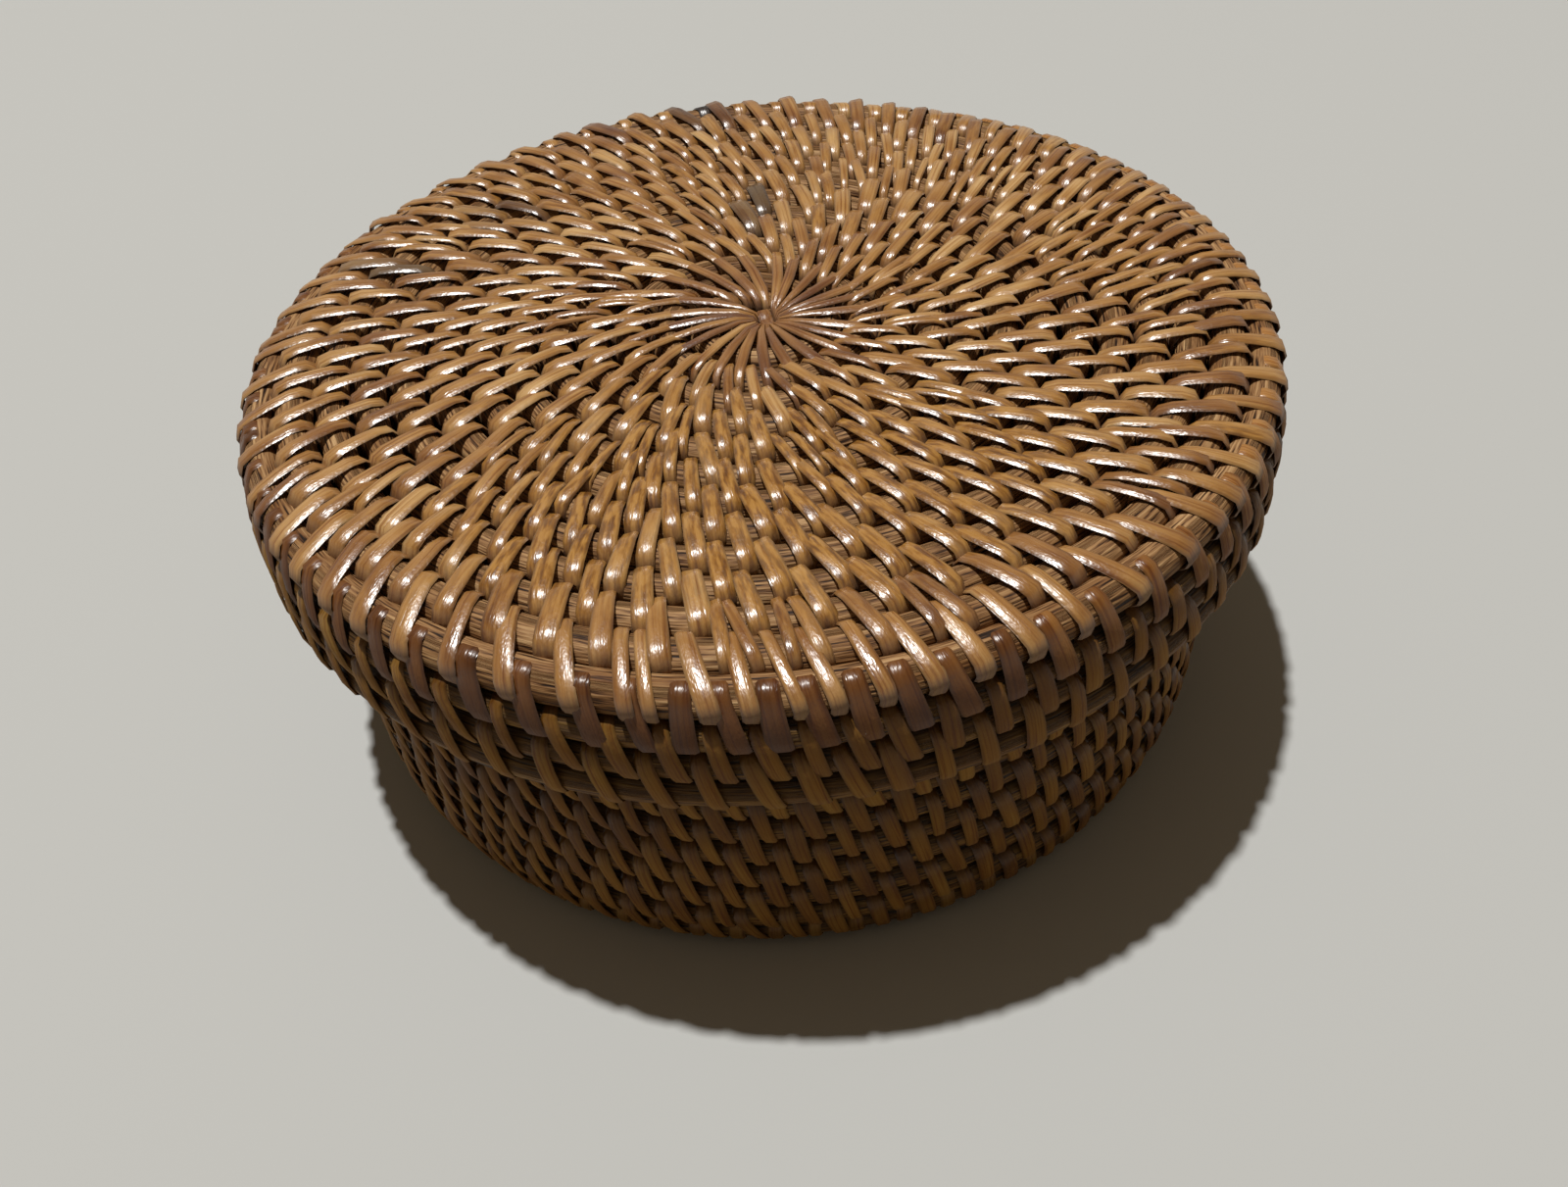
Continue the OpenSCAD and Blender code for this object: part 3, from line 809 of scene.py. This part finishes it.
# The strips of the wall take more of the speckled orange-brown colour towards the foot, less with each
# millimetre of height.
FOOT_SPECKLE, SPECKLE_DROP = 0.5, 0.04

base_count = len(base_turns)
base_set = np.floor(base_turns)
base_radius, base_height = base_place(row_at(base_turns))
on_wall = base_set > BASE_CORNER_ROW
base_width = BASE_WIDTH_SHARE * 2 * np.pi * base_radius * np.gradient(base_turns)
base_width = np.clip(base_width, *BASE_WIDTHS) * chance.normal(1, WIDTH_NOISE, base_count)
base_lean = -WALL_LEAN + chance.normal(0, BASE_LEAN_NOISE, base_count)
base_arch = np.where(base_height > LID_EDGE_Z, LOW_ARCH, WALL_ARCH) * on_wall
base_tone = run_tones(base_count) - BASE_DARKER
base_speckle = np.clip(FOOT_SPECKLE - SPECKLE_DROP * base_height, 0, FOOT_SPECKLE) * on_wall
base_char = np.zeros(base_count)

BASE_SETS = (
    ("base_inner_stitches", "base_inner_lashing", 4, 8),
    ("base_foot_stitches", "base_foot_lashing", 9, 13),
    ("base_corner_stitches", "base_corner_lashing", 14, 14),
    ("base_lower_stitches", "base_lower_lashing", 15, 18),
    ("base_upper_stitches", "base_upper_lashing", 19, 22),
    ("base_rim_stitches", "base_rim_lashing", 23, 23),
)
for name, node, low, high in BASE_SETS:
    own = (base_set >= low) & (base_set <= high)
    strips = stitch_points(
        "base", base_turns[own], 1, base_lean[own], base_width[own], STRIP_TAPER, base_arch[own],
    )
    marks = base_tone[own], base_speckle[own], base_char[own]
    add_stitches(name, strips, wall_peel, "base", node, "peel", *marks)

# %% [markdown]
# ## The hubs
# In the middle, narrow strips run like rays from a small hole out over the first three rows. They are
# stitches too, around rods two turns apart, tapered so that all of them fit into the hole. On the lid, the
# end of a strip is drawn through the hole and closes it.

# %% Hub rays
RAY_COUNT = 25
RAY_SPAN = 2
RAY_WIDTH = 2.1
RAY_OVERLAP = 1.02
RAY_CROWD = 2 * np.pi * RAY_OVERLAP / RAY_COUNT
RAY_NOISE = 0.15
RAY_LEAN = np.radians(14)
RAY_ARCH = 0.35
RAY_SWIRL_R = 8.0
RAY_DARKER = 0.08
CROSS_ANGLE = np.radians(100)
CROSS_WIDTH = 2.6
CROSS_AT = np.array([2.6, 1.9, 1.2, 0.6, 0.0, -0.6, -1.2, -1.9, -2.6, -2.2, 0.0, 2.2])
CROSS_UP = np.array([2.0, 1.75, 1.5, 1.3, 1.2, 1.3, 1.5, 1.75, 2.0, 0.6, 0.1, 0.6])
CROSS_FACE = np.array([1, 1, 1, 1, 1, 1, 1, 1, 1, -1, -1, -1])


def hub_crossing():
    """Points, UV, dullness and painted shade of the strip through the lid's hole: a dip across it, and back
    below.
    """
    up = np.array([0.0, 0.0, 1.0])
    line = np.array([np.cos(CROSS_ANGLE), np.sin(CROSS_ANGLE), 0.0])
    path = CROSS_AT[:, None] * line + (LID_Z + CROSS_UP)[:, None] * up
    width = np.full((1, len(CROSS_AT)), CROSS_WIDTH)
    points, uv = carry_profile(path[None], (CROSS_FACE[:, None] * up)[None], 0 * width, width)
    return points, uv, 0 * width, 0 * width


def hub_rays(name, node, body, material, lean, arch, extra=None):
    """Rays around the first and third turns, from the hole outwards, and an extra strip if one is given."""
    places = np.arange(RAY_COUNT) + chance.uniform(-RAY_NOISE, RAY_NOISE, RAY_COUNT)
    turn = 1 + RAY_SPAN + places / RAY_COUNT
    width = RAY_WIDTH * chance.normal(1, WIDTH_NOISE, RAY_COUNT)
    strips = stitch_points(body, turn, RAY_SPAN, lean, width, 0.0, arch, 0.0, RAY_SWIRL_R, RAY_CROWD)
    if extra:
        strips = [np.concatenate(pair) for pair in zip(strips, extra)]
    tone = run_tones(len(strips[0])) - RAY_DARKER
    add_stitches(name, strips, material, body, node, "peel", tone, 0 * tone, 0 * tone)


hub_rays("lid_hub_rays", "lid_hub_lashing", "lid", light_peel, RAY_LEAN, RAY_ARCH, hub_crossing())
hub_rays("base_hub_rays", "base_hub_lashing", "base", wall_peel, -RAY_LEAN, 0.0)

# %% [markdown]
# ## Floor
# The basket stands on a plain pale floor. A flat sheet would show its far edge in low views, so it is a grid
# that is swept up far off and makes the backdrop too. The light that it throws back is darker than the colour
# that is seen, so that it doesn't light up the walls from below.

# %% Floor
FLOOR_HALF = 4.0
FLOOR_CELLS = 80
SWEEP_START = 2.0
SWEEP_RISE = 0.5
FLOOR_ROUGHNESS = 0.9
line = np.linspace(-FLOOR_HALF, FLOOR_HALF, FLOOR_CELLS + 1)
floor_x, floor_y = np.meshgrid(line, line)
floor_z = SWEEP_RISE * np.maximum(np.hypot(floor_x, floor_y) - SWEEP_START, 0) ** 2
first_corner = (np.arange(FLOOR_CELLS)[:, None] * (FLOOR_CELLS + 1) + np.arange(FLOOR_CELLS)).ravel()
floor_faces = first_corner[:, None] + np.array([0, 1, FLOOR_CELLS + 2, FLOOR_CELLS + 1])
floor_points = np.stack([floor_x, floor_y, floor_z], axis=-1).reshape(-1, 3)
floor_mesh = bpy.data.meshes.new("floor")
floor_mesh.from_pydata(floor_points.tolist(), [], floor_faces.tolist())
floor_mesh.shade_smooth()
floor_material, tree, shader = new_material("pale_floor")
bounced = add_node(tree, "LightPath").outputs["Is Diffuse Ray"]
floor_colour = add_node(
    tree, "Mix", {0: bounced, 6: linear("#c5c7c5"), 7: linear("#6e665a")}, data_type="RGBA",
)
tree.links.new(floor_colour.outputs[2], shader.inputs["Base Color"])
shader.inputs["Roughness"].default_value = FLOOR_ROUGHNESS
floor_mesh.materials.append(floor_material)
floor = bpy.data.objects.new("floor", floor_mesh)
bpy.context.scene.collection.objects.link(floor)
print("floor of", len(floor_faces), "faces")

# %% [markdown]
# ## Light
# One lamp high up at the back left gives each stitch its highlight and the basket its shadow. A pale world,
# brightest overhead, fills in the rest. The lamp's power follows from its distance, so that a white sheet
# facing it would show the key level.

# %% Light
KEY_PLACE = Vector((-0.488, 0.374, 4.0))
KEY_SIZE = 0.14
KEY_LEVEL = 0.88
FILL_LEVEL = 0.17
key_data = bpy.data.lights.new("key", "AREA")
key_data.shape = "DISK"
key_data.size = KEY_SIZE
key_data.energy = KEY_LEVEL * np.pi ** 2 * KEY_PLACE.length_squared
key_data.color = linear("#fffdfa")[:3]
key = bpy.data.objects.new("key", key_data)
key.location = KEY_PLACE
key.rotation_euler = (-KEY_PLACE).to_track_quat("-Z", "Y").to_euler()
bpy.context.scene.collection.objects.link(key)

world = bpy.data.worlds.new("studio")
world.use_nodes = True
tree = world.node_tree
direction = add_node(tree, "SeparateXYZ", {0: add_node(tree, "TexCoord").outputs["Generated"]})
fill = add_node(tree, "MapRange", {"Value": direction.outputs["Z"], "To Max": FILL_LEVEL})
sky = tree.nodes["Background"]
sky.inputs["Color"].default_value = linear("#ffe0b8")
tree.links.new(fill.outputs[0], sky.inputs["Strength"])
bpy.context.scene.world = world
print(f"key lamp of {key_data.energy:.0f} W")

# %% [markdown]
# ## Camera
# The camera looks down from the front. Its place, turn and focal length are worked out for a picture of 1600
# by 1211.

# %% Camera
SENSOR_WIDTH = 36.0
FOCAL_LENGTH = 33.525
CLIP_START = 0.01
CAMERA_PLACE = (0.0, -0.23235, 0.22595)
CAMERA_TURN = np.radians((46.6046, 3.8170, -3.8257))
camera_data = bpy.data.cameras.new("camera")
camera_data.sensor_fit = "HORIZONTAL"
camera_data.sensor_width = SENSOR_WIDTH
camera_data.lens = FOCAL_LENGTH
camera_data.clip_start = CLIP_START
camera = bpy.data.objects.new("camera", camera_data)
camera.location = CAMERA_PLACE
camera.rotation_euler = CAMERA_TURN.tolist()
bpy.context.scene.collection.objects.link(camera)
bpy.context.scene.camera = camera
bpy.context.scene.view_settings.view_transform = "Standard"
print("camera at", [round(v, 4) for v in camera.location])
